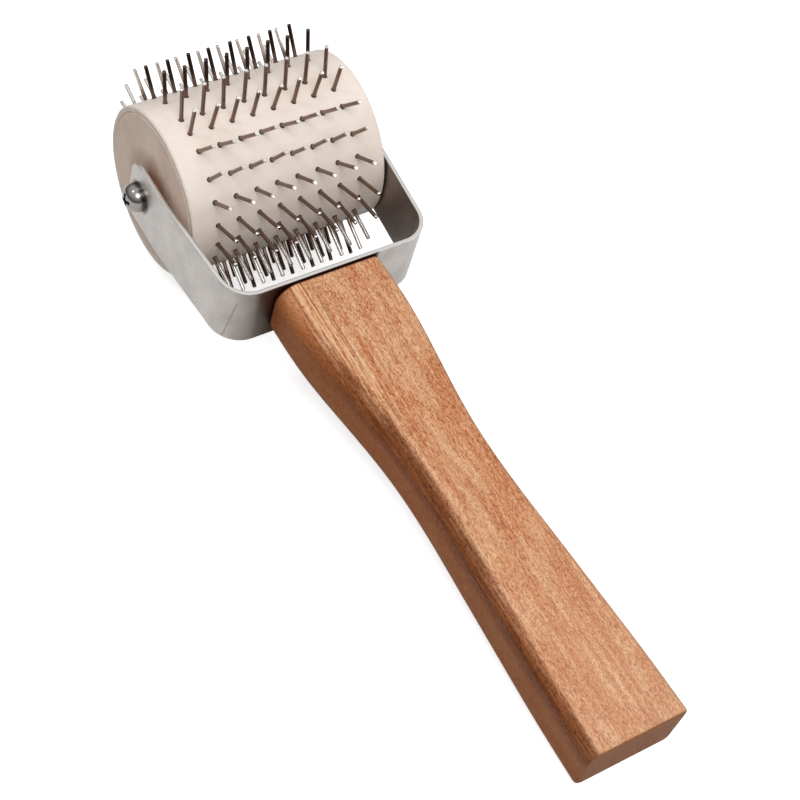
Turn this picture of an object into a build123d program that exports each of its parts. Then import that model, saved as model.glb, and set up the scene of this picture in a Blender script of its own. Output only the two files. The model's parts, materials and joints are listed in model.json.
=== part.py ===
"""Honeycomb uncapping roller: a needle drum turning in a bent steel yoke on a wooden handle.

Design frame, millimetres: the axle lies along X through the origin, the handle runs towards -Y and
+Z is up. The finished tool is then tipped about X until it lies as it would on a table, on its
lowest two rows of needles and the butt of its handle, with the origin under the middle of its box.
"""

import os
from math import asin, atan2, cos, degrees, hypot, radians, sin

from build123d import *

TOLERANCE = 0.01

# Radial gap around anything pushed or screwed into a hole
SNUG_GAP = 0.02

# Drum: a length of plastic pipe closed by two turned end caps
DRUM_R = 30.0
DRUM_WALL = 2.2
DRUM_LENGTH = 74.6
DRUM_SHIFT = 0.75
CAP_THICKNESS = 3.5
CAP_GAP = 0.05
SEAM_CHAMFER = 0.3
RIM_CHAMFER = 0.5
HUB_R = 11.0
HUB_LENGTH = 9.0
SLEEVE_R = 27.78
SLEEVE_WALL = 4.0

# Needles: eight to a row, in rows drilled by hand, so spacing and lean both wander
NEEDLE_R = 0.7
NEEDLE_OUT = 12.0
NEEDLE_TIP_CHAMFER = 0.2
NEEDLE_PITCH = 7.84
NEEDLES_PER_ROW = 8
NEEDLE_SHIFT = -0.6
NEEDLE_SEAT_R = 28.1
NEEDLE_SINK_R = 0.95
NEEDLE_SINK_DEPTH = 0.35
LEAN_SCATTER = 1.4

# Axle, bushes and the washers that take up the side play
AXLE_R = 4.0
AXLE_RUNNING_GAP = 0.05
BUSH_R = 6.4
BUSH_FLANGE_R = 7.4
BUSH_FLANGE = 0.5
WASHER_R = 6.6
SIDE_PLAY = 0.3
SCREW_R = 2.5
SCREW_LENGTH = 12.0
SCREW_POINT = 0.4
SCREW_HEAD_R = 5.1
SCREW_HEAD_HEIGHT = 4.8
SCREW_TURN_LEFT = 20.0
SCREW_TURN_RIGHT = 38.0
TAP_DEPTH = 14.0
AXLE_CHAMFER = 0.4
SOCKET_MOUTH = 0.3

# Yoke: one steel strip bent twice; its arms lean outwards and end parallel
STRIP_WIDTH = 26.0
STRIP_T = 1.6
AXLE_DROP = 0.8
YOKE_BACK_LEFT = 38.3
YOKE_BACK_RIGHT = 38.1
YOKE_PAD_LEFT = 41.75
YOKE_PAD_RIGHT = 41.0
YOKE_DEPTH = 59.8
PAD_START = 16.0
PAD_BLEND_R = 60.0
BEND_R = 11.25
ARM_TIP = 6.4
ARM_TIP_R = 6.0
ARM_HOLE_R = 2.7

# Handle: hardwood, waisted, held to the yoke by two wood screws from inside
HANDLE_LENGTH = 182.5
HANDLE_FRONT_SHIFT = -3.2
HANDLE_BUTT_SHIFT = 1.2
HANDLE_END_ROUND = 1.2
HANDLE_FRONT_ROUND = 0.8
HANDLE_RIGHT_CORNER = 3.0
WOOD_SCREW_X = 9.0
WOOD_SCREW_R = 2.0
WOOD_SCREW_LENGTH = 30.0
WOOD_SCREW_POINT = 1.6
WOOD_SCREW_HEAD_R = 4.2
WOOD_SCREW_HEAD = 2.2
WOOD_SCREW_TURN = 25.0
WOOD_SCREW_HOLE_GAP = 0.2
PILOT_SPARE = 2.0

# Distance behind the yoke, half width, half height and left corner radius of the handle's sections
HANDLE_SECTIONS = [
    (0.0, 19.5, 12.5, 7.5),
    (20.0, 19.4, 12.4, 7.0),
    (45.0, 16.8, 11.9, 6.5),
    (68.0, 14.4, 11.5, 6.0),
    (90.0, 14.1, 11.4, 5.5),
    (112.0, 15.2, 11.3, 5.0),
    (136.0, 16.5, 11.2, 4.5),
    (160.0, 17.7, 11.1, 4.0),
    (HANDLE_LENGTH, 18.3, 11.0, 3.8),
]

HANDLE_END_Y = YOKE_DEPTH + HANDLE_LENGTH
HANDLE_END_HALF = HANDLE_SECTIONS[-1][2]
PAD_INNER_LEFT = STRIP_T - YOKE_PAD_LEFT
PAD_INNER_RIGHT = YOKE_PAD_RIGHT - STRIP_T
DRUM_HALF = DRUM_LENGTH / 2
PIPE_BORE_R = DRUM_R - DRUM_WALL
REST_ROW_HALF = 7.5


def rest_tilt():
    """Angle that brings the butt of the handle down to the level of the lowest needle tips."""
    tip_r = DRUM_R + NEEDLE_OUT
    low = radians(REST_ROW_HALF)
    tip_drop = tip_r * cos(low) + (NEEDLE_R - NEEDLE_TIP_CHAMFER) * sin(low)
    butt_y = HANDLE_END_Y - HANDLE_END_ROUND
    butt_z = HANDLE_END_HALF - AXLE_DROP - HANDLE_END_ROUND
    steepest = asin((tip_drop - HANDLE_END_ROUND) / hypot(butt_y, butt_z))
    return degrees(steepest - atan2(butt_z, butt_y))


TILT = rest_tilt()
LOWEST = 270.0 + TILT

# Each row's angle about the axle, from the handle's direction upwards, its lean off the radius and
# its lean to the right
ROWS = [
    (5.5, 7, 0), (21, 0, 3), (37, 1, 1), (52, 7, 2), (71, -17, 3), (84, 5, 3),
    (96, 11, 4), (118, -8, 1), (135, -14, -5), (150, -28, -10), (170, 5, 3), (184, -1, 0),
    (198, -5, 0), (212, 3, 0), (226, 0, 0), (240, 4, 0), (255, -2, 0),
    (LOWEST - REST_ROW_HALF, 0, 0), (LOWEST + REST_ROW_HALF, 0, 0),
    (298, 3, 10), (311, -2, 10), (325, 1, 0), (338, 0, 0), (351, 0, 0),
]


def disc(radius, thickness, x, bore=0.0):
    """A disc or ring on the X axis that starts at x and grows towards +X."""
    plane = Plane(origin=(x, 0, 0), z_dir=(1, 0, 0))
    ring = Circle(radius) - Circle(bore) if bore else Circle(radius)
    return extrude(plane * ring, thickness)


def circles(shape, radius):
    """The shape's circular edges of one radius."""
    round_edges = shape.edges().filter_by(GeomType.CIRCLE)
    return round_edges.filter_by(lambda edge: abs(edge.radius - radius) < TOLERANCE)


def other_side(shape):
    return mirror(shape, about=Plane.YZ)


def needle_location(row, index):
    """Location on the drum's surface whose Z axis runs out along the needle."""
    angle, lean, side = ROWS[row]
    number = row * NEEDLES_PER_ROW + index
    lean += LEAN_SCATTER * sin(2.4 * number)
    side += LEAN_SCATTER * cos(3.7 * number)
    x = DRUM_SHIFT + NEEDLE_SHIFT + NEEDLE_PITCH * (index - (NEEDLES_PER_ROW - 1) / 2)
    around = Rot(X=90 - angle)
    return Pos(X=x) * around * Pos(Z=DRUM_R) * Rot(X=-lean) * Rot(Y=side)


def needle():
    """One needle standing on its own base point, which is at the drum's surface."""
    seat = NEEDLE_SEAT_R - DRUM_R
    shaft = extrude(Plane.XY.offset(seat) * Circle(NEEDLE_R), NEEDLE_OUT - seat)
    tip = shaft.faces().sort_by(Axis.Z)[-1].edges()
    return chamfer(tip, NEEDLE_TIP_CHAMFER)


def needle_hole():
    """Cutter for the drilled hole of one needle with its small countersink."""
    drill_r = NEEDLE_R + SNUG_GAP
    flare = NEEDLE_SINK_R - drill_r
    outline = Polyline(
        (0, -2 * DRUM_WALL),
        (drill_r, -2 * DRUM_WALL),
        (drill_r, -NEEDLE_SINK_DEPTH),
        (drill_r + 2 * flare, NEEDLE_SINK_DEPTH),
        (0, NEEDLE_SINK_DEPTH),
        close=True,
    )
    return revolve(Plane.XZ * make_face(outline), Axis.Z)


def drum_shell():
    pipe = disc(DRUM_R, DRUM_LENGTH, -DRUM_HALF, PIPE_BORE_R)
    pipe = chamfer(circles(pipe, DRUM_R), RIM_CHAMFER)
    pipe = Pos(X=DRUM_SHIFT) * chamfer(circles(pipe, PIPE_BORE_R), SEAM_CHAMFER)
    cutter = needle_hole()
    holes = [
        needle_location(row, index) * cutter
        for row in range(len(ROWS))
        for index in range(NEEDLES_PER_ROW)
    ]
    return pipe - holes


def end_cap():
    """The right-hand cap; its outer face is flush with the end of the pipe."""
    plate = disc(PIPE_BORE_R - CAP_GAP, CAP_THICKNESS, DRUM_HALF - CAP_THICKNESS)
    rim = plate.faces().sort_by(Axis.X)[-1].edges()
    plate = chamfer(rim, SEAM_CHAMFER)
    hub = disc(HUB_R, HUB_LENGTH, DRUM_HALF - CAP_THICKNESS - HUB_LENGTH)
    return plate + hub - disc(BUSH_R + SNUG_GAP, DRUM_LENGTH, 0)


def bush():
    length = CAP_THICKNESS + HUB_LENGTH
    barrel = disc(BUSH_R, length, DRUM_HALF - length)
    flange = disc(BUSH_FLANGE_R, BUSH_FLANGE, DRUM_HALF)
    return barrel + flange - disc(AXLE_R + AXLE_RUNNING_GAP, DRUM_LENGTH, 0)


def core_sleeve():
    """Inner pipe that backs the needles and spaces the two caps."""
    inner_length = DRUM_LENGTH - 2 * CAP_THICKNESS
    sleeve = disc(SLEEVE_R, inner_length, -inner_length / 2, SLEEVE_R - SLEEVE_WALL)
    return Pos(X=DRUM_SHIFT) * sleeve


def side_washer(inner_face, drum_face):
    """Washer between an arm's inner face and the bush flange, thinner by the side play."""
    thickness = abs(inner_face - drum_face) - SIDE_PLAY
    return disc(WASHER_R, thickness, min(inner_face, drum_face), AXLE_R + SNUG_GAP)


def axle_rod():
    rod = disc(AXLE_R, PAD_INNER_RIGHT - PAD_INNER_LEFT, PAD_INNER_LEFT)
    rod = chamfer(circles(rod, AXLE_R), AXLE_CHAMFER)
    left_tap = disc(SCREW_R + SNUG_GAP, TAP_DEPTH, PAD_INNER_LEFT)
    right_tap = disc(SCREW_R + SNUG_GAP, TAP_DEPTH, PAD_INNER_RIGHT - TAP_DEPTH)
    return rod - left_tap - right_tap


def cross_recess(span, width, depth):
    """Cross socket that opens at z = 0 and narrows to half its size at the bottom."""
    arms = []
    for length, breadth in ((span, width), (width, span)):
        mouth = Rectangle(length, breadth)
        floor = Plane.XY.offset(-depth) * Rectangle(length / 2, breadth / 2)
        arms.append(loft([mouth, floor]))
    return arms[0] + arms[1]


def pan_head_screw(shank_r, shank_length, head_r, head_height, point):
    """Pan-head screw along Z with the underside of its head at z = 0."""
    brim = 0.27 * head_height
    socket_depth = 0.6 * head_height
    end = (0, -shank_length)
    crown = (0, head_height)
    side = Polyline(
        end,
        (shank_r - point, -shank_length),
        (shank_r, -shank_length + 2 * point),
        (shank_r, 0),
        (head_r, 0),
        (head_r, brim),
    )
    dome = ThreePointArc((head_r, brim), (0.72 * head_r, 0.84 * head_height), crown)
    profile = make_face([side, dome, Line(crown, end)])
    body = revolve(Plane.XZ * profile, Axis.Z)
    socket = cross_recess(1.15 * head_r, 0.27 * head_r, socket_depth + SOCKET_MOUTH)
    return body - Pos(Z=head_height + SOCKET_MOUTH) * socket


def axle_screws():
    shank_length = SCREW_LENGTH + STRIP_T
    screw = pan_head_screw(SCREW_R, shank_length, SCREW_HEAD_R, SCREW_HEAD_HEIGHT, SCREW_POINT)
    left = Pos(X=-YOKE_PAD_LEFT) * Rot(Y=-90) * Rot(Z=SCREW_TURN_LEFT) * screw
    right = Pos(X=YOKE_PAD_RIGHT) * Rot(Y=90) * Rot(Z=SCREW_TURN_RIGHT) * screw
    return Compound(children=[left, right])


def handle_screw_axis(side):
    """Location on the yoke's outer back face whose Z axis points out of the handle."""
    return Pos(side * WOOD_SCREW_X, -YOKE_DEPTH, AXLE_DROP) * Rot(X=-90)


def yoke():
    outline = [
        (-YOKE_PAD_LEFT, ARM_TIP),
        (-YOKE_PAD_LEFT, -PAD_START),
        (-YOKE_BACK_LEFT, -YOKE_DEPTH),
        (YOKE_BACK_RIGHT, -YOKE_DEPTH),
        (YOKE_PAD_RIGHT, -PAD_START),
        (YOKE_PAD_RIGHT, ARM_TIP),
    ]
    path = FilletPolyline(*outline, radius=[PAD_BLEND_R, BEND_R, BEND_R, PAD_BLEND_R])
    band = make_face(offset(path, STRIP_T, side=Side.LEFT, closed=True).edges())
    strip = Pos(Z=AXLE_DROP - STRIP_WIDTH / 2) * extrude(band, STRIP_WIDTH)
    tips = strip.edges().filter_by(Axis.X).filter_by(lambda e: e.center().Y > 0)
    strip = fillet(tips, ARM_TIP_R)
    through = 6 * STRIP_T
    back_hole = Cylinder(WOOD_SCREW_R + WOOD_SCREW_HOLE_GAP, through)
    for inner_face in (PAD_INNER_LEFT, PAD_INNER_RIGHT):
        strip = strip - disc(ARM_HOLE_R, through, inner_face - through / 2)
    for side in (-1, 1):
        strip = strip - handle_screw_axis(side) * back_hole
    return strip


def handle_section(half_width, half_height, left_corner):
    """A rectangle whose left corners are rounder than its right ones."""
    block = Rectangle(2 * half_width, 2 * half_height)
    block = fillet(block.vertices().group_by(Axis.X)[0], left_corner)
    return fillet(block.vertices().group_by(Axis.X)[-1], HANDLE_RIGHT_CORNER)


def handle():
    sections = []
    for behind, half_width, half_height, corner in HANDLE_SECTIONS:
        drift = (HANDLE_BUTT_SHIFT - HANDLE_FRONT_SHIFT) * behind / HANDLE_LENGTH
        shift = HANDLE_FRONT_SHIFT + drift
        centre = (shift, -YOKE_DEPTH - behind, AXLE_DROP)
        plane = Plane(origin=centre, x_dir=(1, 0, 0), z_dir=(0, -1, 0))
        sections.append(plane * handle_section(half_width, half_height, corner))
    grip = loft(sections)
    grip = fillet(grip.faces().sort_by(Axis.Y)[0].edges(), HANDLE_END_ROUND)
    grip = fillet(grip.faces().sort_by(Axis.Y)[-1].edges(), HANDLE_FRONT_ROUND)
    pilot = Cylinder(WOOD_SCREW_R + SNUG_GAP, 2 * (WOOD_SCREW_LENGTH + PILOT_SPARE))
    for side in (-1, 1):
        grip = grip - handle_screw_axis(side) * pilot
    return grip


def handle_screws():
    screw = pan_head_screw(
        WOOD_SCREW_R,
        WOOD_SCREW_LENGTH + STRIP_T,
        WOOD_SCREW_HEAD_R,
        WOOD_SCREW_HEAD,
        WOOD_SCREW_POINT,
    )
    placed = []
    for side in (-1, 1):
        seat = handle_screw_axis(side) * Pos(Z=STRIP_T)
        placed.append(seat * Rot(Z=WOOD_SCREW_TURN * side) * screw)
    return Compound(children=placed)


def needle_row(row):
    pin = needle()
    pins = [needle_location(row, index) * pin for index in range(NEEDLES_PER_ROW)]
    return Compound(children=pins)


def build_nodes():
    to_drum = Pos(X=DRUM_SHIFT)
    flange_face = DRUM_HALF + BUSH_FLANGE
    nodes = {
        "yoke": yoke(),
        "handle": handle(),
        "axle_rod": axle_rod(),
        "axle_screws": axle_screws(),
        "handle_screws": handle_screws(),
        "drum_shell": drum_shell(),
        "core_sleeve": core_sleeve(),
        "end_cap_right": to_drum * end_cap(),
        "end_cap_left": to_drum * other_side(end_cap()),
        "bush_right": to_drum * bush(),
        "bush_left": to_drum * other_side(bush()),
    }
    left_gap_face = DRUM_SHIFT - flange_face
    right_gap_face = DRUM_SHIFT + flange_face
    nodes["washer_left"] = side_washer(PAD_INNER_LEFT, left_gap_face)
    nodes["washer_right"] = Pos(X=SIDE_PLAY) * side_washer(PAD_INNER_RIGHT, right_gap_face)
    for row in range(len(ROWS)):
        nodes[f"needle_row_{row + 1:02d}"] = needle_row(row)
    return nodes


def main():
    os.makedirs("parts", exist_ok=True)
    tipped = {name: Rot(X=TILT) * shape for name, shape in build_nodes().items()}
    boxes = [shape.bounding_box() for shape in tipped.values()]
    back = min(box.min.Y for box in boxes)
    front = max(box.max.Y for box in boxes)
    bottom = min(box.min.Z for box in boxes)
    stand = Pos(Y=-(back + front) / 2, Z=-bottom)
    for name, shape in tipped.items():
        export_step(stand * shape, f"parts/{name}.step")


main()
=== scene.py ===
"""Looks of the honeycomb uncapping roller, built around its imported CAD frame.

Everything is in metres in the row's frame. Shapes that repeat the CAD are written in its design
frame, in millimetres: the axle lies along X through the origin, the handle runs towards -Y and +Z
is up. PLACE carries that frame to where the tool lies.
"""

import json
import math
import random

import bmesh
import bpy
import numpy as np
from mathutils import Matrix, Vector


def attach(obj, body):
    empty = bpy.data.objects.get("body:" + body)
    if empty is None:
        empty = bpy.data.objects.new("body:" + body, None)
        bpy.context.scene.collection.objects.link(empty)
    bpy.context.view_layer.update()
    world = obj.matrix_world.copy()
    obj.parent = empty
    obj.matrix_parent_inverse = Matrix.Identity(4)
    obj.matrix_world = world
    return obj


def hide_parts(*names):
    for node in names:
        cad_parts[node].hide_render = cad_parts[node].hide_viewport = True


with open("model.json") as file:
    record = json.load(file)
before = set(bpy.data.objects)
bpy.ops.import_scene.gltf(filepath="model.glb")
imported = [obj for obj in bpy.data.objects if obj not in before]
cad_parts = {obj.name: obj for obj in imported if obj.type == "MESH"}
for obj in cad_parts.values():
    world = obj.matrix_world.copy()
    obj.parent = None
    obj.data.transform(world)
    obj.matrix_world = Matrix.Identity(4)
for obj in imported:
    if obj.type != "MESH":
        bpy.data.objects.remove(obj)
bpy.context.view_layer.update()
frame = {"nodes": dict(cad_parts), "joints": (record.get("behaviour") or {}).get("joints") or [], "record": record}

MM = 0.001
JOINT = frame["joints"][0]
AXLE = Vector(JOINT["pos_m"])
BUTT_AXIS = Vector(frame["record"]["mounts"][0]["axis"])
TILT = math.atan2(-BUTT_AXIS.z, -BUTT_AXIS.y)
PLACE = Matrix.Translation(AXLE) @ Matrix.Rotation(TILT, 4, "X") @ Matrix.Scale(MM, 4)
TO_DESIGN = PLACE.inverted()

# Drum and needles, as in the CAD
DRUM_R = 30.0
NEEDLE_R = 0.7
NEEDLE_OUT = 12.0
NEEDLES_PER_ROW = 8

# Yoke strip, as in the CAD
STRIP_WIDTH = 26.0
STRIP_T = 1.6
AXLE_DROP = 0.8
YOKE_DEPTH = 59.8
BEND_R = 11.25
ARM_TIP_R = 6.0
YOKE_CORNERS = [
    (-41.75, 6.4),
    (-41.75, -16.0),
    (-38.3, -YOKE_DEPTH),
    (38.1, -YOKE_DEPTH),
    (41.0, -16.0),
    (41.0, 6.4),
]
YOKE_RADII = [60.0, BEND_R, BEND_R, 60.0]

# Handle, as in the CAD: distance behind the yoke, half width, half height and left corner radius
HANDLE_LENGTH = 182.5
HANDLE_FRONT_SHIFT = -3.2
HANDLE_BUTT_SHIFT = 1.2
HANDLE_END_ROUND = 1.2
HANDLE_FRONT_ROUND = 0.8
HANDLE_RIGHT_CORNER = 3.0
HANDLE_SECTIONS = np.array([
    (0.0, 19.5, 12.5, 7.5),
    (20.0, 19.4, 12.4, 7.0),
    (45.0, 16.8, 11.9, 6.5),
    (68.0, 14.4, 11.5, 6.0),
    (90.0, 14.1, 11.4, 5.5),
    (112.0, 15.2, 11.3, 5.0),
    (136.0, 16.5, 11.2, 4.5),
    (160.0, 17.7, 11.1, 4.0),
    (HANDLE_LENGTH, 18.3, 11.0, 3.8),
])
BUTT_Y = -YOKE_DEPTH - HANDLE_LENGTH


# ---------------------------------------------------------------- camera

CAMERA_TARGET = Vector((-0.0014, -0.0075, 0.030))
CAMERA_DISTANCE = 0.6304
CAMERA_AZIMUTH = math.radians(-130.64)
CAMERA_ELEVATION = math.radians(49.42)
CAMERA_ROLL = math.radians(11.62)
LENS = 87.57
SENSOR = 36.0


def add_camera():
    flat = math.cos(CAMERA_ELEVATION)
    towards = Vector((
        flat * math.cos(CAMERA_AZIMUTH),
        flat * math.sin(CAMERA_AZIMUTH),
        math.sin(CAMERA_ELEVATION),
    ))
    level_right = Vector((0, 0, 1)).cross(towards).normalized()
    level_up = towards.cross(level_right)
    right = level_right * math.cos(CAMERA_ROLL) + level_up * math.sin(CAMERA_ROLL)
    up = towards.cross(right)
    data = bpy.data.cameras.new("camera")
    data.lens = LENS
    data.sensor_width = SENSOR
    camera = bpy.data.objects.new("camera", data)
    bpy.context.scene.collection.objects.link(camera)
    turn = Matrix((right, up, towards)).transposed().to_4x4()
    camera.matrix_world = Matrix.Translation(CAMERA_TARGET + towards * CAMERA_DISTANCE) @ turn
    bpy.context.scene.camera = camera


# ---------------------------------------------------------------- materials


class Shader:
    """A Principled material and short calls that add nodes to it."""

    def __init__(self, name, roughness, metallic=0.0):
        self.material = bpy.data.materials.new(name)
        self.material.use_nodes = True
        self.tree = self.material.node_tree
        self.surface = self.tree.nodes["Principled BSDF"]
        self.surface.inputs["Roughness"].default_value = roughness
        self.surface.inputs["Metallic"].default_value = metallic

    def add(self, kind, **inputs):
        node = self.tree.nodes.new(kind)
        for key, value in inputs.items():
            self.feed(node.inputs[key.replace("_", " ")], value)
        return node

    def feed(self, socket, value):
        if isinstance(value, bpy.types.NodeSocket):
            self.tree.links.new(value, socket)
        else:
            socket.default_value = value

    def set(self, name, value):
        self.feed(self.surface.inputs[name], value)

    def position(self, stretch=(1, 1, 1)):
        """Place in the design frame, in millimetres, scaled along its three axes."""
        source = self.tree.nodes.new("ShaderNodeTexCoord")
        shift, turn, scale = TO_DESIGN.decompose()
        design = self.add(
            "ShaderNodeMapping",
            Vector=source.outputs["Object"],
            Location=shift,
            Rotation=turn.to_euler(),
            Scale=scale,
        )
        scaled = self.add("ShaderNodeMapping", Vector=design.outputs["Vector"], Scale=stretch)
        return scaled.outputs["Vector"]

    def axes(self):
        """Place in the design frame as three numbers: across, along the handle and up."""
        node = self.add("ShaderNodeSeparateXYZ", Vector=self.position())
        return node.outputs["X"], node.outputs["Y"], node.outputs["Z"]

    def from_axle(self, ahead=0.0, above=0.0):
        """Distance in millimetres from the drum's axle, or from a line that runs beside it."""
        across, along, up = self.axes()
        flat = self.maths("SUBTRACT", along, ahead)
        high = self.maths("SUBTRACT", up, above)
        return self.maths("SQRT", self.maths("ADD", self.times(flat, flat), self.times(high, high)))

    def noise(self, vector, scale, detail=2.0, roughness=0.5, distortion=0.0):
        node = self.add(
            "ShaderNodeTexNoise",
            Vector=vector,
            Scale=scale,
            Detail=detail,
            Roughness=roughness,
            Distortion=distortion,
        )
        return node.outputs["Fac"]

    def spread(self, value, low, high, to_low=0.0, to_high=1.0):
        """Carries the range from low to high over to another, and holds it at the ends."""
        node = self.add("ShaderNodeMapRange")
        node.clamp = True
        for index, number in enumerate((value, low, high, to_low, to_high)):
            self.feed(node.inputs[index], number)
        return node.outputs["Result"]

    def maths(self, operation, a, b=0.0):
        node = self.tree.nodes.new("ShaderNodeMath")
        node.operation = operation
        self.feed(node.inputs[0], a)
        self.feed(node.inputs[1], b)
        return node.outputs[0]

    def times(self, product, *factors):
        for factor in factors:
            product = self.maths("MULTIPLY", product, factor)
        return product

    def mix(self, share, a, b):
        node = self.tree.nodes.new("ShaderNodeMix")
        node.data_type = "RGBA"
        self.feed(node.inputs["Factor"], share)
        self.feed(node.inputs[6], a)
        self.feed(node.inputs[7], b)
        return node.outputs[2]

    def tint(self, share, colour):
        """Lays a colour over the base colour, by share."""
        socket = self.surface.inputs["Base Color"]
        below = socket.links[0].from_socket if socket.is_linked else tuple(socket.default_value)
        self.set("Base Color", self.mix(share, below, colour))

    def ramp(self, value, stops):
        node = self.add("ShaderNodeValToRGB", Fac=value)
        elements = node.color_ramp.elements
        elements[0].position, elements[0].color = stops[0]
        elements[1].position, elements[1].color = stops[-1]
        for place, colour in stops[1:-1]:
            elements.new(place).color = colour
        return node.outputs["Color"]

    def bump(self, height, distance):
        node = self.add("ShaderNodeBump", Height=height, Distance=distance, Strength=1.0)
        self.set("Normal", node.outputs["Normal"])

    def attribute(self, name):
        node = self.tree.nodes.new("ShaderNodeAttribute")
        node.attribute_name = name
        return node.outputs["Fac"]


def srgb(red, green, blue):
    """Linear colour with alpha from 0-255 display values."""
    parts = []
    for value in (red, green, blue):
        share = value / 255
        parts.append(share / 12.92 if share <= 0.04045 else ((share + 0.055) / 1.055) ** 2.4)
    return (*parts, 1.0)


# Width of the painted shadow where the wood meets the steel
JOINT_SHADE = 1.1
# Depth of the sawn end grain at the butt, and over how much of that it fades in
SAWN_DEPTH = 0.5
SAWN_FADE = 0.4
# Where along the handle the wood starts to pale with wear
WORN_START = 0.45


def wood():
    """Open-pored reddish hardwood; the grain runs along the handle, and its left flank and rim are painted darker
    as shade.
    """
    m = Shader("hardwood", 0.55)
    m.set("Specular IOR Level", 0.16)
    bands = m.noise(m.position((1, 0.05, 1)), 0.15, 3.0, 0.55, 1.0)
    streaks = m.noise(m.position((1, 0.04, 1)), 0.80, 4.0, 0.62, 0.5)
    fine = m.noise(m.position((1, 0.10, 1)), 3.2, 3.0, 0.6, 0.4)
    flecks = m.noise(m.position((1, 0.38, 1)), 1.75, 3.0, 0.65, 0.4)
    pores = m.noise(m.position((1, 0.30, 1)), 3.6, 2.0, 0.6, 0.2)
    patches = m.noise(m.position((1, 0.30, 1)), 0.13, 3.0, 0.6, 0.8)
    lines = m.noise(m.position((1, 0.018, 1)), 0.95, 3.0, 0.6, 0.5)
    across, along, up = m.axes()

    m.set("Base Color", m.ramp(bands, [
        (0.30, srgb(184, 117, 76)),
        (0.43, srgb(201, 143, 100)),
        (0.56, srgb(217, 172, 134)),
        (0.70, srgb(186, 119, 78)),
    ]))
    m.tint(m.spread(patches, 0.43, 0.60, 0.0, 0.48), srgb(182, 102, 58))
    m.tint(m.spread(streaks, 0.50, 0.68, 0.0, 0.42), srgb(180, 112, 74))
    m.tint(m.spread(streaks, 0.46, 0.30, 0.0, 0.40), srgb(232, 190, 152))
    crowded = m.spread(patches, 0.34, 0.60, 0.20, 1.0)
    m.tint(m.times(crowded, m.spread(flecks, 0.51, 0.57, 0.0, 0.85)), srgb(158, 78, 42))
    m.tint(m.spread(fine, 0.51, 0.64, 0.0, 0.42), srgb(160, 88, 46))
    m.tint(m.spread(fine, 0.48, 0.38, 0.0, 0.40), srgb(234, 192, 146))
    m.tint(m.spread(pores, 0.57, 0.65, 0.0, 0.60), srgb(140, 72, 36))
    worn_y = -YOKE_DEPTH - WORN_START * HANDLE_LENGTH
    m.tint(m.spread(along, worn_y, BUTT_Y, 0.0, 0.28), srgb(222, 180, 148))
    # Long lines along the grain beside the rim: pale ones are painted highlight streaks, dark ones grain
    edge = m.attribute("grain_and_highlight")
    m.tint(m.times(edge, m.spread(lines, 0.52, 0.60, 0.0, 0.60)), srgb(236, 200, 160))
    m.tint(m.times(edge, m.spread(lines, 0.47, 0.41, 0.0, 0.70)), srgb(132, 74, 44))

    # Painted shade on the left flank, and on the rim where the top rounds over to it, with dark flecks there
    flank = m.times(m.attribute("flank"), m.spread(bands, 0.3, 0.7, 0.60, 0.95))
    m.tint(m.times(flank, 0.95), srgb(160, 86, 30))
    rim = m.times(m.attribute("rim"), m.spread(streaks, 0.36, 0.58, 0.45, 1.0))
    m.tint(m.times(rim, 0.90), srgb(112, 56, 18))
    m.tint(m.times(rim, m.spread(flecks, 0.50, 0.60, 0.0, 0.65)), srgb(76, 36, 14))
    sawn = m.spread(along, BUTT_Y + SAWN_DEPTH, BUTT_Y + SAWN_DEPTH - SAWN_FADE)
    rings = m.noise(m.position(), 2.2, 3.0, 0.7)
    m.tint(sawn, m.mix(rings, srgb(180, 116, 70), srgb(124, 72, 36)))
    # Painted shadow on the wood where it meets the steel plate
    joint_shadow = m.spread(along, -YOKE_DEPTH - JOINT_SHADE, -YOKE_DEPTH - 0.5 * JOINT_SHADE)
    m.tint(joint_shadow, srgb(62, 26, 18))

    m.set("Roughness", m.spread(pores, 0.5, 0.66, 0.50, 0.74))
    grooves = m.maths("SUBTRACT", m.times(fine, 0.4), m.spread(pores, 0.54, 0.66))
    m.bump(grooves, 0.00010)
    return m


def steel(name, colour, roughness, grain_mm=0.25, grain_axis=(0.04, 1, 1), relief=0.00002):
    """Bare metal with grain drawn out along one axis and faint clouds."""
    m = Shader(name, roughness, 1.0)
    grain = m.noise(m.position(grain_axis), 1 / grain_mm, 3.0, 0.6)
    cloud = m.noise(m.position(), 0.12, 3.0, 0.5)
    darker = tuple(0.80 * c for c in colour[:3]) + (1.0,)
    m.set("Base Color", colour)
    m.tint(m.spread(cloud, 0.35, 0.68), darker)
    m.tint(m.spread(grain, 0.45, 0.70, 0.0, 0.35), darker)
    m.set("Roughness", m.spread(grain, 0.3, 0.7, roughness - 0.06, roughness + 0.08))
    m.bump(grain, relief)
    return m


# The cross recess in the axle's screws, painted black as shade: its reach from the axle, and how far
# from the middle of the tool it begins and ends
RECESS_R = 2.9
RECESS_START = 43.4
RECESS_END = 46.0


def screw_chrome():
    """Bright plating, with painted shade black inside the cross recess of the screws at the axle's two ends."""
    m = steel("screw_chrome", srgb(158, 153, 149), 0.16)
    across, along, up = m.axes()
    depth = m.maths("ABSOLUTE", across)
    # Painted shade: black inside the cross recess
    recess_shade = m.times(
        m.spread(m.from_axle(), RECESS_R + 0.1, RECESS_R - 0.1),
        m.spread(depth, RECESS_END + 0.1, RECESS_END - 0.1),
        m.spread(depth, RECESS_START - 0.2, RECESS_START + 0.2),
    )
    m.tint(recess_shade, srgb(26, 20, 18))
    return m


# Painted reflection of the dark wood, with shade, on the plate: where along X it starts to darken
# towards the wood, where it is darkest and where it ends
WOOD_REFLECTION_START = -41.0
WOOD_REFLECTION_FULL = -22.0
WOOD_REFLECTION_END = 16.8
WOOD_REFLECTION_FADE = 1.2
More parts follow.
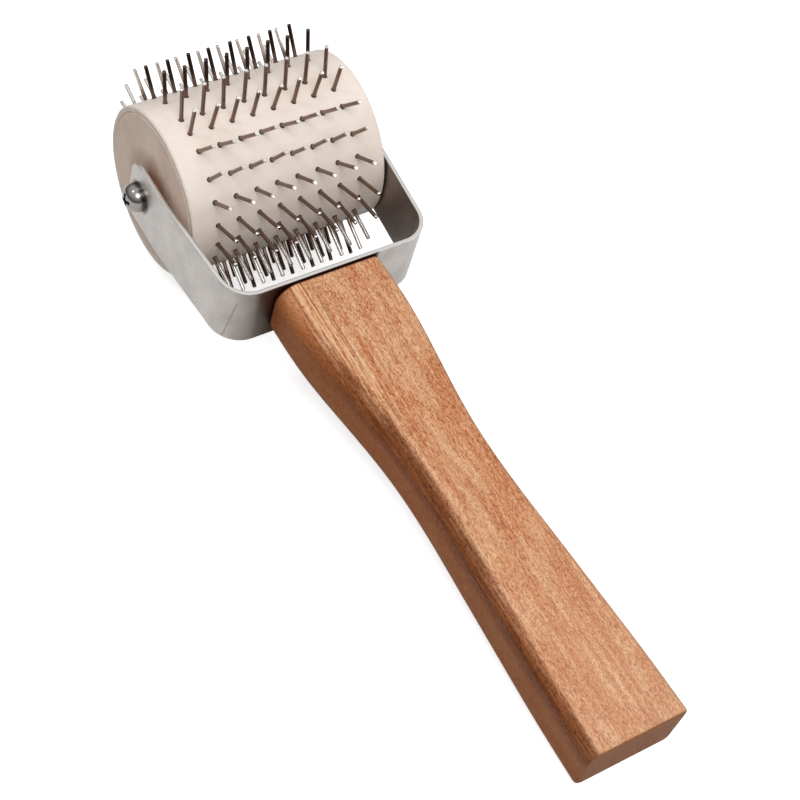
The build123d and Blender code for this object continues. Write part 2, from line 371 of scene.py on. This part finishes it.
# Painted shadow round the axle's screws: its reach, how soft its edge is, and how far it is moved up
# and towards the handle. It lies on the arms' outer faces, beyond a distance from the middle
SCREW_SHADOW_R = 6.7
SCREW_SHADOW_FADE = 1.6
SCREW_SHADOW_SHIFT = 1.2
ARM_MIDDLE = 40.5


def yoke_steel():
    """The strip's rolled faces, its cut edges painted paler as highlight, and the cracked crease in one bend with
    painted shade in its crack.
    """
    m = steel("strip_steel", srgb(198, 193, 189), 0.34, grain_mm=0.5, grain_axis=(0.25, 0.25, 1))
    across, along, up = m.axes()
    speck = m.noise(m.position(), 1.6, 3.0, 0.7)
    cut_edge = m.attribute("cut_edge")
    m.tint(m.spread(speck, 0.54, 0.70, 0.0, 0.50), srgb(150, 142, 136))
    # Painted highlight: the cut edges are made paler than the rolled faces
    m.tint(m.times(cut_edge, 0.75), srgb(232, 229, 225))
    # Painted shade on the right arm's inner face, beside the drum
    m.tint(m.times(m.attribute("right_arm_shade"), 0.65), srgb(122, 100, 84))
    # Painted shade in the sunk crack of the crease
    m.tint(m.attribute("crease"), srgb(74, 66, 60))
    # Painted reflection and shade: the plate darkens towards the wood, but not on its cut edge
    wood_reflection_shade = m.times(
        m.spread(across, WOOD_REFLECTION_START, WOOD_REFLECTION_FULL),
        m.spread(across, WOOD_REFLECTION_END, WOOD_REFLECTION_END - WOOD_REFLECTION_FADE),
        m.maths("SUBTRACT", 1.0, cut_edge),
        m.spread(along, BEND_R - YOKE_DEPTH, 0.2 * BEND_R - YOKE_DEPTH),
    )
    m.tint(wood_reflection_shade, srgb(76, 54, 42))
    # Painted shadow of each screw head on its arm
    beside = m.from_axle(-SCREW_SHADOW_SHIFT, SCREW_SHADOW_SHIFT)
    screw_shadow = m.times(
        m.spread(beside, SCREW_SHADOW_R, SCREW_SHADOW_R - SCREW_SHADOW_FADE, 0.0, 0.92),
        m.spread(m.maths("ABSOLUTE", across), ARM_MIDDLE - 0.2, ARM_MIDDLE + 0.2),
    )
    m.tint(screw_shadow, srgb(48, 40, 36))
    return m


def plastic(name, colour, stain, roughness, dirt):
    """Moulded or turned plastic with faint mottling and handling marks."""
    m = Shader(name, roughness)
    cloud = m.noise(m.position(), 0.09, 4.0, 0.6, 0.4)
    speck = m.noise(m.position(), 1.1, 3.0, 0.7)
    turned = m.noise(m.position((1, 0.02, 0.02)), 2.5, 2.0, 0.5)
    m.set("Base Color", colour)
    m.tint(m.spread(cloud, 0.42, 0.72, 0.0, dirt), stain)
    m.tint(m.spread(speck, 0.60, 0.76, 0.0, dirt), stain)
    m.set("Roughness", m.spread(cloud, 0.3, 0.7, roughness - 0.05, roughness + 0.10))
    m.bump(m.maths("ADD", turned, m.times(speck, 0.5)), 0.00002)
    return m


TAN = srgb(246, 222, 203), srgb(222, 194, 172)
# Painted brown shadow on the end caps round the hub: the radii where it is darkest and where it ends, and its
# ragged edge
HUB_SHADOW_FULL = 10.0
HUB_SHADOW_END = 20.0
HUB_SHADOW_RAGGED = 6.0


def cap_plastic():
    """Tan plastic, with a painted brown shadow round the hub."""
    m = plastic("tan_plastic", *TAN, roughness=0.55, dirt=0.6)
    # Painted shadow round the hub, with a ragged edge
    ragged = m.times(m.noise(m.position(), 0.25, 3.0, 0.6), HUB_SHADOW_RAGGED)
    reach = m.maths("ADD", m.from_axle(), ragged)
    m.tint(m.spread(reach, HUB_SHADOW_END, HUB_SHADOW_FULL, 0.0, 0.75), srgb(150, 92, 62))
    return m


# How far out from the drum the painted reflection and shade at a needle's foot fades, and how long
# the painted glint at its tip is
FOOT_START = 2.0
FOOT_END = 5.0
TIP_GLINT_START = 0.9
TIP_GLINT_END = 0.6


def needle_steel(name, colour, foot_reflection_colour, tip_glint_colour, roughness):
    """Wire with a painted reflection of the drum and shade at its foot and a painted glint at its tip."""
    m = steel(name, colour, roughness, grain_mm=1.6, grain_axis=(1, 1, 1), relief=0.000002)
    reach = m.from_axle()
    # Painted reflection of the drum, and shade, near the needle's foot
    m.tint(m.spread(reach, DRUM_R + FOOT_START, DRUM_R + FOOT_END, 1.0, 0.0), foot_reflection_colour)
    tip = DRUM_R + NEEDLE_OUT
    # Painted glint at the needle's tip
    m.tint(m.spread(reach, tip - TIP_GLINT_START, tip - TIP_GLINT_END), tip_glint_colour)
    return m


FLOOR_GLOW = 0.6
TABLE_R = 250.0


def painted_floor():
    """White paint with pale shadows; in the steel it mirrors as a white table on a dark floor."""
    m = Shader("floor", 0.9)
    m.set("Specular IOR Level", 0.0)
    across, along, up = m.axes()
    m.set("Base Color", srgb(250, 250, 250))
    m.tint(m.noise(m.position(), 0.004, 2.0), srgb(244, 244, 244))
    path = m.tree.nodes.new("ShaderNodeLightPath")
    away = m.maths("ADD", m.times(across, across), m.times(along, along))
    far = m.spread(away, TABLE_R**2, 4 * TABLE_R**2, 0.0, 0.85)
    m.tint(m.times(far, path.outputs["Is Glossy Ray"]), srgb(20, 20, 20))
    m.set("Emission Color", (1.0, 1.0, 1.0, 1.0))
    m.set("Emission Strength", m.times(path.outputs["Is Camera Ray"], FLOOR_GLOW))
    return m


# ---------------------------------------------------------------- mesh helpers

SMOOTH_ANGLE = math.radians(35)


def new_object(name, vertices, faces, shader):
    """An object whose vertices are in design millimetres, laid where the tool lies."""
    mesh = bpy.data.meshes.new(name)
    mesh.from_pydata([tuple(v) for v in vertices], [], faces)
    mesh.transform(PLACE)
    mesh.validate()
    thing = bpy.data.objects.new(name, mesh)
    bpy.context.scene.collection.objects.link(thing)
    mesh.materials.append(shader.material)
    mesh.polygons.foreach_set("use_smooth", [True] * len(mesh.polygons))
    mesh.set_sharp_from_angle(angle=SMOOTH_ANGLE)
    return thing


def tube(rings, close_ends=True):
    """Vertices and faces of a skin over equal rings of points, with its two ends closed."""
    count = len(rings[0])
    vertices = [point for ring in rings for point in ring]
    faces = []
    for row in range(len(rings) - 1):
        for index in range(count):
            following = (index + 1) % count
            a, b = row * count + index, row * count + following
            faces.append((a, b, b + count, a + count))
    if close_ends:
        faces.append(tuple(reversed(range(count))))
        last = (len(rings) - 1) * count
        faces.append(tuple(range(last, last + count)))
    return vertices, faces


def outward(thing):
    """Turns every face of a closed mesh outwards."""
    work = bmesh.new()
    work.from_mesh(thing.data)
    bmesh.ops.recalc_face_normals(work, faces=work.faces)
    work.to_mesh(thing.data)
    work.free()


def add_attribute(thing, name, values):
    """One number at each vertex, for the material to read."""
    layer = thing.data.attributes.new(name, "FLOAT", "POINT")
    layer.data.foreach_set("value", values)


def ease(value, start, end):
    """Smooth step from 0 at start to 1 at end."""
    share = min(max((value - start) / (end - start), 0.0), 1.0)
    return share * share * (3 - 2 * share)


def smooth_curve(knots, values, where):
    """Natural cubic spline through the values at the knots."""
    steps = np.diff(knots)
    slopes = np.diff(values) / steps
    count = len(knots)
    system = np.zeros((count, count))
    right = np.zeros(count)
    system[0, 0] = system[-1, -1] = 1.0
    for i in range(1, count - 1):
        system[i, i - 1] = steps[i - 1]
        system[i, i] = 2 * (steps[i - 1] + steps[i])
        system[i, i + 1] = steps[i]
        right[i] = 6 * (slopes[i] - slopes[i - 1])
    bend = np.linalg.solve(system, right)
    spot = np.clip(np.searchsorted(knots, where) - 1, 0, count - 2)
    step = steps[spot]
    before = (knots[spot + 1] - where) / step
    after = (where - knots[spot]) / step
    line = before * values[spot] + after * values[spot + 1]
    curve = (before**3 - before) * bend[spot] + (after**3 - after) * bend[spot + 1]
    return line + curve * step**2 / 6


def end_inset(distance, radius):
    """How far a rounded end has drawn in at a distance from its face."""
    if distance >= radius:
        return 0.0
    return radius - math.sqrt(radius**2 - (radius - distance) ** 2)


# ---------------------------------------------------------------- handle

HANDLE_CORNER_STEPS = 10
HANDLE_SIDE_STEPS = 12
HANDLE_RINGS = 92
# Places of the rings over each rounded end, as shares of its radius
ROUND_TURNS = [0.0, 0.03, 0.12, 0.27, 0.47, 0.71, 1.0]
LEAST_CORNER = 0.5

# Shares of the half width, to the left, between which each part of the wood's colour comes in:
# the painted shade of the flank and of the rim of the top at both ends of the handle, and the long
# lines along the grain, with pale painted highlights, which go out again before the edge
FLANK_SHADE = (0.80, 0.97)
RIM_SHADE_FRONT = (0.68, 0.80)
RIM_SHADE_BUTT = (0.82, 0.87)
GRAIN_HIGHLIGHT_INNER = (0.34, 0.48)
GRAIN_HIGHLIGHT_OUTER = (0.97, 0.80)


def flank_shade_share(x, z, y):
    """The handle's left flank; x and z are shares of the half sizes and y of the length; z and y are not used."""
    # How much painted shade the flank takes
    return ease(-x, *FLANK_SHADE)


def rim_shade_share(x, z, y):
    """The band of painted shade where the top rounds over to the left flank; it narrows towards the butt."""
    drift = ease(y, 0.4, 1.0)
    start, full = (front + drift * (butt - front) for front, butt in zip(RIM_SHADE_FRONT, RIM_SHADE_BUTT))
    return ease(-x, start, full) * ease(z, 0.05, 0.65) * ease(y, 0.04, 0.30)


def grain_and_highlight_share(x, z, y):
    """The part of the top, beside that band, where the grain shows as long lines, the pale ones painted highlight.
    """
    beside = ease(-x, *GRAIN_HIGHLIGHT_INNER) * ease(-x, *GRAIN_HIGHLIGHT_OUTER)
    return beside * ease(z, 0.5, 0.8) * ease(y, 0.62, 0.10)


def rounded_rectangle(half_width, half_height, right_radius, left_radius):
    """Points round a rectangle with rounded corners, evenly many on each side and corner."""
    corners = []
    for turn, (sx, sz) in enumerate([(1, 1), (-1, 1), (-1, -1), (1, -1)]):
        radius = right_radius if sx > 0 else left_radius
        cx, cz = sx * (half_width - radius), sz * (half_height - radius)
        corner = []
        for step in range(HANDLE_CORNER_STEPS + 1):
            at = (turn + step / HANDLE_CORNER_STEPS) * math.pi / 2
            corner.append((cx + radius * math.cos(at), cz + radius * math.sin(at)))
        corners.append(corner)
    points = []
    for corner, following in zip(corners, corners[1:] + corners[:1]):
        points += corner
        leave, arrive = Vector(corner[-1]), Vector(following[0])
        for step in range(1, HANDLE_SIDE_STEPS):
            points.append(tuple(leave.lerp(arrive, step / HANDLE_SIDE_STEPS)))
    return points


def handle(shader):
    front, butt = HANDLE_FRONT_ROUND, HANDLE_LENGTH - HANDLE_END_ROUND
    stations = [HANDLE_FRONT_ROUND * turn for turn in ROUND_TURNS]
    stations += list(np.linspace(front, butt, HANDLE_RINGS)[1:-1])
    stations += [HANDLE_LENGTH - HANDLE_END_ROUND * turn for turn in reversed(ROUND_TURNS)]
    stations = np.array(stations)
    knots = HANDLE_SECTIONS[:, 0]
    sizes = [smooth_curve(knots, HANDLE_SECTIONS[:, i], stations) for i in (1, 2, 3)]
    rings = []
    shares = []
    for behind, width, height, corner in zip(stations, *sizes):
        inset = end_inset(behind, HANDLE_FRONT_ROUND)
        inset += end_inset(HANDLE_LENGTH - behind, HANDLE_END_ROUND)
        along = behind / HANDLE_LENGTH
        shift = HANDLE_FRONT_SHIFT + (HANDLE_BUTT_SHIFT - HANDLE_FRONT_SHIFT) * along
        outline = rounded_rectangle(
            width - inset,
            height - inset,
            HANDLE_RIGHT_CORNER - inset,
            max(corner - inset, LEAST_CORNER),
        )
        rings.append([(x + shift, -YOKE_DEPTH - behind, z + AXLE_DROP) for x, z in outline])
        shares += [(x / width, z / height, along) for x, z in outline]
    vertices, faces = tube(rings)
    grip = new_object("wooden_grip", vertices, faces, shader)
    outward(grip)
    add_attribute(grip, "flank", [flank_shade_share(*share) for share in shares])
    add_attribute(grip, "rim", [rim_shade_share(*share) for share in shares])
    add_attribute(grip, "grain_and_highlight", [grain_and_highlight_share(*share) for share in shares])
    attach(grip, "frame")
    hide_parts("handle")


# ---------------------------------------------------------------- yoke

STRIP_EDGE_R = 0.3
LEAST_EDGE_R = 0.03
STRIP_FACE_STEPS = 52
STRIP_EDGE_STEPS = 4
RUN_STEP = 3.0
BEND_STEP = 0.5
END_MARKS = [0.0, 0.06, 0.13, 0.22, 0.3, 0.7, 1.2, 1.8, 2.5, 3.3, 4.2, 5.1, 6.0]
END_REACH = 6.5
# Vertices deeper than this below both faces are on the strip's cut edge
EDGE_SKIN = 0.2
# Shares of the strip's length between which its inner face darkens with painted shade, on the right arm
INNER_SHADE = (0.62, 0.70)

# The cracked crease in the left bend: columns of vertices beside it and how far each stands out
CREASE_COLUMNS = {
    -0.9: 0.0,
    -0.5: 0.1,
    -0.25: 0.25,
    -0.09: -0.4,
    0.0: -1.0,
    0.09: -0.4,
    0.25: 0.25,
    0.5: 0.1,
    0.9: 0.0,
}
CREASE_DEPTH = 0.16
CREASE_CLEAR = 1.1
CREASE_MIDDLE = -0.5
CREASE_SLANT = 2.0
CREASE_KINKS = 14
CREASE_WANDER = 0.22
CREASE_LEAST = 0.35
# Shares of the half width between which the crease dies out towards the strip's upper edge
CREASE_TOP = (0.75, 0.45)


def strip_segments():
    """Straight runs and arcs of the strip's outer face: length, start, heading and curvature."""
    corners = [Vector(c) for c in YOKE_CORNERS]
    segments = []
    here = corners[0]
    for corner, following, radius in zip(corners[1:], corners[2:], YOKE_RADII):
        into = (corner - here).normalized()
        out = (following - corner).normalized()
        turn = math.acos(into.dot(out))
        back = radius * math.tan(turn / 2)
        start = corner - into * back
        segments.append(((start - here).length, here, into, 0.0))
        segments.append((radius * turn, start, into, 1 / radius))
        here = corner + out * back
    last = corners[-1] - here
    segments.append((last.length, here, last.normalized(), 0.0))
    return segments


def on_strip(segments, distance):
    """Place on the strip's outer face and the direction that points away from the drum."""
    for length, start, heading, curvature in segments:
        if distance <= length:
            break
        distance -= length
    if curvature == 0.0:
        place, way = start + heading * distance, heading
    else:
        spoke = Vector((-heading.y, heading.x)) / curvature
        turn = Matrix.Rotation(distance * curvature, 2)
        place, way = start + spoke - turn @ spoke, turn @ heading
    return place, Vector((way.y, -way.x))


def strip_columns(segments):
    """Distances along the strip at which its mesh has a ring, and the crease's own distance."""
    marks = []
    reached = 0.0
    for length, start, heading, curvature in segments:
        tight = curvature * BEND_R > 0.5
        count = math.ceil(length / (BEND_STEP if tight else RUN_STEP))
        marks += [reached + length * i / count for i in range(count)]
        reached += length
    left_bend = sum(segment[0] for segment in segments[:3])
    crease = left_bend + segments[3][0] / 2 + CREASE_MIDDLE
    marks = [m for m in marks if END_REACH < m < reached - END_REACH]
    marks = [m for m in marks if abs(m - crease) > CREASE_CLEAR]
    marks += [crease + offset for offset in CREASE_COLUMNS]
    marks += END_MARKS + [reached - mark for mark in END_MARKS]
    return sorted(marks), crease, reached


def quarter(centre, radius, start):
    """Points over a quarter circle that starts at an angle in degrees."""
    points = []
    for step in range(STRIP_EDGE_STEPS + 1):
        at = math.radians(start + 90 * step / STRIP_EDGE_STEPS)
        points.append((centre[0] + radius * math.cos(at), centre[1] + radius * math.sin(at)))
    return points


def strip_ring(half, inset):
    """Cross-section of the strip as (depth below the outer face, height) pairs."""
    radius = max(STRIP_EDGE_R - inset, LEAST_EDGE_R)
    outer, inner = -inset, -STRIP_T + inset
    flat = half - inset - radius
    heights = [-flat + 2 * flat * step / STRIP_FACE_STEPS for step in range(STRIP_FACE_STEPS)]
    points = [(outer, height) for height in heights]
    points += quarter((outer - radius, flat), radius, 0)
    points += quarter((inner + radius, flat), radius, 90)
    points += [(inner, -height) for height in heights[1:]]
    points += quarter((inner + radius, -flat), radius, 180)
    points += quarter((outer - radius, -flat), radius, 270)
    return points[:-1]


def between(values, share):
    """Value at a share of the way along a list, with straight lines between its entries."""
    spread = share * (len(values) - 1)
    low = min(max(int(spread), 0), len(values) - 2)
    return values[low] + (spread - low) * (values[low + 1] - values[low])


def yoke(shader):
    rng = random.Random(7)
    segments = strip_segments()
    marks, crease, length = strip_columns(segments)
    half_bend = segments[3][0] / 2
    stands = {crease + offset: weight for offset, weight in CREASE_COLUMNS.items()}
    wander = [rng.uniform(-CREASE_WANDER, CREASE_WANDER) for _ in range(CREASE_KINKS)]
    fray = [rng.uniform(CREASE_LEAST, 1.0) for _ in range(STRIP_FACE_STEPS + 1)]
    rings, weights, edges, inner = [], [], [], []
    for mark in marks:
        from_end = min(mark, length - mark)
        half = STRIP_WIDTH / 2 - end_inset(from_end, ARM_TIP_R)
        near_crease = max(0.0, 1 - abs(mark - crease) / (half_bend + CREASE_MIDDLE))
        stand = stands.get(mark, 0.0)
        ring = []
        outline = strip_ring(half, end_inset(from_end, STRIP_EDGE_R))
        for number, (depth, height) in enumerate(outline):
            share = height / half
            slide = near_crease * (CREASE_SLANT * share + between(wander, (share + 1) / 2))
            place, away = on_strip(segments, mark + slide)
            crack = 0.0
            if number <= STRIP_FACE_STEPS:
                crack = stand * fray[number] * ease(share, *CREASE_TOP)
            depth += crack * CREASE_DEPTH
            spot = place + away * depth
            ring.append((spot.x, spot.y, height + AXLE_DROP))
            # How far the crack sinks, which sets its painted shade
            weights.append(max(0.0, -crack))
            edges.append(1.0 if EDGE_SKIN - STRIP_T < depth < -EDGE_SKIN else 0.0)
            inside = depth < EDGE_SKIN - STRIP_T
            inner.append(ease(mark / length, *INNER_SHADE) if inside else 0.0)
        rings.append(ring)
    vertices, faces = tube(rings)
    strip = new_object("bent_strip", vertices, faces, shader)
    outward(strip)
    add_attribute(strip, "crease", weights)
    add_attribute(strip, "cut_edge", edges)
    add_attribute(strip, "right_arm_shade", inner)
    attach(strip, "frame")
    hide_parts("yoke")


# ---------------------------------------------------------------- needles

# How deep a slice of a needle's vertices stands for its tip or its seat
END_SLICE = 0.6
COLLAR_STEPS = 16
# Radius and height of the dark ring of painted shadow at each needle's foot, from the drum's surface
# up to the needle
COLLAR_PROFILE = [
    (0.98, -0.06),
    (0.96, 0.04),
    (0.88, 0.12),
    (0.80, 0.22),
    (0.74, 0.34),
    (0.66, 0.36),
]
COLLAR_SCATTER = (0.92, 1.04)


def run_to_drum(spot, way):
    """How far along a direction from a place the drum's surface lies."""
    a = way[1] * way[1] + way[2] * way[2]
    b = spot[1] * way[1] + spot[2] * way[2]
    c = spot[1] * spot[1] + spot[2] * spot[2] - DRUM_R**2
    return (-b + math.sqrt(max(b * b - a * c, 0.0))) / a


def needle_axes(node):
    """Foot on the drum's surface and direction of each needle of a row, in design millimetres."""
    spots = np.array([TO_DESIGN @ v.co for v in frame["nodes"][node].data.vertices])
    first, last = spots[:, 0].min(), spots[:, 0].max()
    pitch = (last - first - 2 * NEEDLE_R) / (NEEDLES_PER_ROW - 1)
    found = []
    for index in range(NEEDLES_PER_ROW):
        x = 0.5 * (first + last) + pitch * (index - (NEEDLES_PER_ROW - 1) / 2)
        pin = spots[abs(spots[:, 0] - x) < pitch / 2]
        reach = np.hypot(pin[:, 1], pin[:, 2])
        tip = pin[reach > reach.max() - END_SLICE].mean(0)
        seat = pin[reach < reach.min() + END_SLICE].mean(0)
        way = (tip - seat) / np.linalg.norm(tip - seat)
        found.append((Vector(seat + way * run_to_drum(seat, way)), Vector(way)))
    return found


def foot_shadows(shader):
    """A dark ring of painted shadow at the foot of every needle."""
    rng = random.Random(11)
    vertices, faces = [], []
    for node in sorted(n for n in frame["nodes"] if n.startswith("needle_row")):
        for foot, way in needle_axes(node):
            side = way.cross(Vector((1, 0, 0))).normalized()
            other = way.cross(side)
            size = rng.uniform(*COLLAR_SCATTER)
            rings = []
            for radius, height in COLLAR_PROFILE:
                ring = []
                for step in range(COLLAR_STEPS):
                    at = 2 * math.pi * step / COLLAR_STEPS
                    spoke = side * math.cos(at) + other * math.sin(at)
                    spot = foot + spoke * radius * size
                    ring.append(spot + way * (run_to_drum(spot, way) + height))
                rings.append(ring)
            base = len(vertices)
            skin, quads = tube(rings, close_ends=False)
            vertices += skin
            faces += [tuple(base + i for i in quad) for quad in quads]
    # The dark rings of painted shadow at the needles' feet
    foot_shadow_rings = new_object("needle_foot_shadows", vertices, faces, shader)
    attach(foot_shadow_rings, "drum")


# ---------------------------------------------------------------- stage

FLOOR_SIZE = 6.0
FLOOR_DROP = 0.0003


def stage():
    half = FLOOR_SIZE / 2
    mesh = bpy.data.meshes.new("floor")
    corners = [(-half, -half, 0), (half, -half, 0), (half, half, 0), (-half, half, 0)]
    mesh.from_pydata(corners, [], [(0, 1, 2, 3)])
    mesh.materials.append(painted_floor().material)
    floor = bpy.data.objects.new("floor", mesh)
    floor.location.z = -FLOOR_DROP
    bpy.context.scene.collection.objects.link(floor)
    floor.visible_diffuse = False


LAMP_TARGET = Vector((0, 0.02, 0.03))


def area_light(name, place, size, power):
    data = bpy.data.lights.new(name, "AREA")
    data.shape = "DISK"
    data.size = size
    data.energy = power
    lamp = bpy.data.objects.new(name, data)
    lamp.location = place
    lamp.rotation_euler = (LAMP_TARGET - Vector(place)).to_track_quat("-Z", "Y").to_euler()
    bpy.context.scene.collection.objects.link(lamp)


# Brightness of the studio at heights from level with the floor to straight above
SKY = [(0.0, 0.10), (0.12, 0.22), (0.35, 0.52), (0.70, 0.86), (1.0, 1.0)]
SKY_STRENGTH = 0.98
# The window's direction, its brightness and the cosines between which its edge fades
WINDOW_AZIMUTH = math.radians(-35)
WINDOW_LEVEL = 3.2
WINDOW_EDGE = (0.80, 0.95)


def lights():
    """A soft overhead sky with two lamps, and for reflections alone a low bright window."""
    world = bpy.data.worlds.new("studio")
    bpy.context.scene.world = world
    world.use_nodes = True
    tree = world.node_tree

    def node(kind, *values):
        made = tree.nodes.new(kind)
        for socket, value in zip(made.inputs, values):
            if isinstance(value, bpy.types.NodeSocket):
                tree.links.new(value, socket)
            else:
                socket.default_value = value
        return made

    direction = tree.nodes.new("ShaderNodeTexCoord").outputs["Generated"]
    height = node("ShaderNodeSeparateXYZ", direction).outputs["Z"]
    ramp = node("ShaderNodeValToRGB", height)
    elements = ramp.color_ramp.elements
    for element, (place, level) in zip((elements[0], elements[1]), (SKY[0], SKY[-1])):
        element.position, element.color = place, (level, level, level, 1.0)
    for place, level in SKY[1:-1]:
        elements.new(place).color = (level, level, level, 1.0)
    window_way = (math.cos(WINDOW_AZIMUTH), math.sin(WINDOW_AZIMUTH), 0.0)
    facing = node("ShaderNodeVectorMath", direction, window_way)
    facing.operation = "DOT_PRODUCT"
    window = node("ShaderNodeMapRange", facing.outputs["Value"], *WINDOW_EDGE, 0.0, WINDOW_LEVEL)
    glossy = tree.nodes.new("ShaderNodeLightPath").outputs["Is Glossy Ray"]
    shown = node("ShaderNodeMath", window.outputs["Result"], glossy)
    shown.operation = "MULTIPLY"
    total = node("ShaderNodeVectorMath", ramp.outputs["Color"], shown.outputs[0])
    background = tree.nodes["Background"]
    tree.links.new(total.outputs["Vector"], background.inputs["Color"])
    background.inputs["Strength"].default_value = SKY_STRENGTH
    area_light("key", (-0.2, -0.6, 1.0), size=0.6, power=6.0)
    area_light("glint", (-0.5, 0.3, 1.05), size=0.25, power=1.0)


# ---------------------------------------------------------------- the tool

# Each wire's colour, then that of its painted foot reflection and shade and of its painted tip glint
BROWN = srgb(132, 110, 98), srgb(118, 96, 84), srgb(240, 235, 230)
# Copies of the same steel, painted for rows that show dark and bright reflections
DARK_REFLECTION = srgb(62, 48, 42), srgb(112, 92, 82), srgb(96, 84, 78)
BRIGHT_REFLECTION = srgb(232, 226, 220), srgb(138, 118, 106), srgb(200, 192, 186)

# Each plastic's colour and that of its stains
IVORY = srgb(232, 219, 208), srgb(216, 200, 186)
BRONZE = srgb(130, 84, 60), srgb(96, 58, 40)
GREY = srgb(128, 128, 128), srgb(110, 108, 105)
# Colour of the painted shadow rings at the needles' feet, and of their stains
FOOT_SHADOW = srgb(60, 46, 38), srgb(40, 30, 26)

FINISHES = {
    "chrome": screw_chrome(),
    "brown_wire": needle_steel("brown_wire", *BROWN, roughness=0.20),
    "dark_reflection_wire": needle_steel("dark_reflection_wire", *DARK_REFLECTION, roughness=0.26),
    "bright_reflection_wire": needle_steel("bright_reflection_wire", *BRIGHT_REFLECTION, roughness=0.24),
    "ivory": plastic("ivory_plastic", *IVORY, roughness=0.42, dirt=0.6),
    "tan": cap_plastic(),
    "bronze": plastic("bronze_brown", *BRONZE, roughness=0.45, dirt=0.7),
    "grey": plastic("grey_plastic", *GREY, roughness=0.6, dirt=0.5),
    "foot_shadow": plastic("needle_foot_shadow", *FOOT_SHADOW, roughness=0.35, dirt=0.8),
    "wood": wood(),
    "strip": yoke_steel(),
}

NODE_FINISHES = {
    "axle_rod": "chrome",
    "axle_screws": "chrome",
    "handle_screws": "chrome",
    "washer_left": "bronze",
    "washer_right": "bronze",
    "drum_shell": "ivory",
    "core_sleeve": "grey",
    "end_cap_left": "tan",
    "end_cap_right": "tan",
    "bush_left": "bronze",
    "bush_right": "bronze",
    "yoke": "strip",
    "handle": "wood",
}

# Rows of needles painted as copies of the same steel that show bright reflections, and rows that
# show dark reflections; the others are brown
BRIGHT_REFLECTION_ROWS = (10, 11, 12, 13, 23, 24)
DARK_REFLECTION_ROWS = (8, 9, 19, 20, 21, 22)
NODE_FINISHES.update({f"needle_row_{row:02d}": "bright_reflection_wire" for row in BRIGHT_REFLECTION_ROWS})
NODE_FINISHES.update({f"needle_row_{row:02d}": "dark_reflection_wire" for row in DARK_REFLECTION_ROWS})

add_camera()
for name, thing in frame["nodes"].items():
    finish = FINISHES[NODE_FINISHES.get(name, "brown_wire")]
    thing.data.materials.clear()
    thing.data.materials.append(finish.material)
handle(FINISHES["wood"])
yoke(FINISHES["strip"])
foot_shadows(FINISHES["foot_shadow"])
stage()
lights()
bpy.context.scene.view_settings.view_transform = "Standard"
